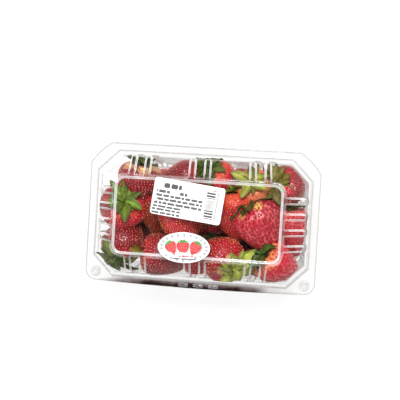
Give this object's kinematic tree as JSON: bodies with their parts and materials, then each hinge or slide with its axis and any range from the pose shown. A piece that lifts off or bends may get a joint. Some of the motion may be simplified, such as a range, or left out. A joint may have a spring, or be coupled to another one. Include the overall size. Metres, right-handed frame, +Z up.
{
  "type": "punnet of strawberries",
  "caption": "Clear plastic clamshell punnet with fluted walls, filled with whole strawberries and shut by a domed, hinged lid that carries plain stickers.",
  "frame": {"origin": "middle of the base, on the surface the punnet stands on", "axes": "+X along the length, +Y towards the hinge at the back, +Z up through the lid"},
  "size_m": [0.19, 0.116, 0.0848],
  "materials": {
    "clear_plastic": "clear, colourless, glossy formed PET sheet",
    "strawberry": null,
    "label_paper": "smooth white paper"
  },
  "bodies": {
    "tray": {"tray": "clear_plastic", "strawberries": "strawberry"},
    "lid": {"lid": "clear_plastic", "label_card": "label_paper", "label_oval": "label_paper"}
  },
  "joints": [
    {"name": "lid_hinge", "type": "hinge", "parent": "tray", "child": "lid", "pos_m": [0, 0.0583, 0.05515], "axis": [-1, 0, 0], "range_deg": [0, 180]}
  ]
}
